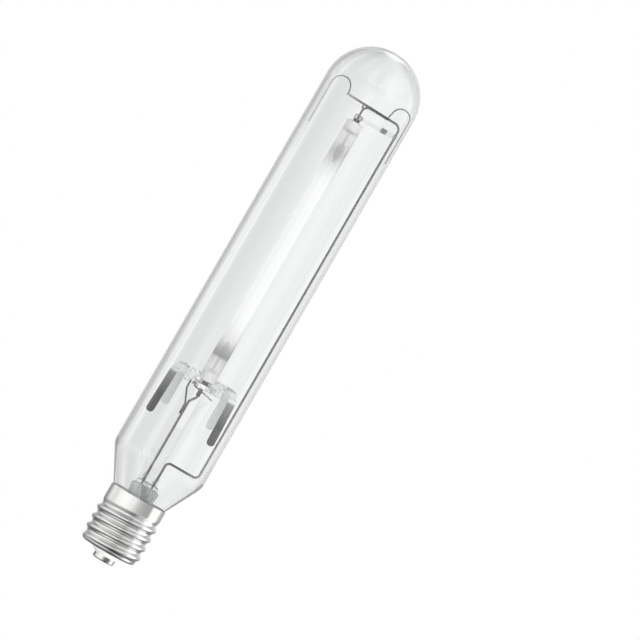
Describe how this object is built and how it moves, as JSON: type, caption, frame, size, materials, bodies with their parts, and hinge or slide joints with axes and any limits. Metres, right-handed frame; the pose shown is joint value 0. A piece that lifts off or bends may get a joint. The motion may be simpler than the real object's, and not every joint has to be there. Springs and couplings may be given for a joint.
{
  "type": "tubular light bulb",
  "caption": "Clear tubular high-pressure sodium lamp with a ceramic arc tube on a wire frame, getter strips and a nickel-plated screw cap.",
  "frame": {"origin": "end of the centre contact, on the lamp's axis", "axes": "+Z along the lamp's axis from the cap to the dome, +X towards the long rod of the wire frame, -Y towards the viewer of the picture"},
  "size_m": [0.0606, 0.0606, 0.3555],
  "materials": {
    "nickel_plate": "nickel plated brass, satin",
    "white_ceramic": "glazed white ceramic",
    "solder": "dull tin solder",
    "cement": "dry basing cement",
    "clear_glass": "clear blown glass",
    "stem_glass": "clear pressed glass",
    "nickel_wire": "drawn nickel wire, lightly oxidised",
    "alumina": "translucent sintered alumina",
    "frit": "sealing frit",
    "niobium": "dark drawn niobium",
    "tungsten": "dull tungsten",
    "amalgam": "bright sodium amalgam",
    "bright_strip": "bright nickel strip",
    "getter_strip": "steel strip with a dark sintered getter coat"
  },
  "bodies": {
    "root": {"screw_shell": "nickel_plate", "cap_insulator": "white_ceramic", "centre_contact": "nickel_plate", "contact_solder": "solder", "cap_cement": "cement", "contact_lead_wire": "nickel_wire", "shell_lead_wire": "nickel_wire", "outer_bulb": "clear_glass", "stem": "stem_glass", "exhaust_tube": "stem_glass", "frame_rod": "nickel_wire", "centre_rod": "nickel_wire", "left_bow_spring": "nickel_wire", "right_bow_spring": "nickel_wire", "guide_pin": "nickel_wire", "upper_lead_wire": "nickel_wire", "upper_strap": "bright_strip", "strap_tab": "bright_strip", "arc_tube": "alumina", "lower_end_plug": "alumina", "upper_end_plug": "alumina", "lower_seal_ring": "frit", "upper_seal_ring": "frit", "lower_niobium_tube": "niobium", "upper_niobium_tube": "niobium", "lower_electrode_rod": "tungsten", "upper_electrode_rod": "tungsten", "lower_electrode_coil": "tungsten", "upper_electrode_coil": "tungsten", "amalgam_dose": "amalgam", "left_getter_strip": "getter_strip", "right_getter_strip": "getter_strip", "getter_carrier": "bright_strip", "cross_strip": "bright_strip", "getter_support_wire": "nickel_wire", "cross_wire": "nickel_wire"}
  },
  "joints": []
}
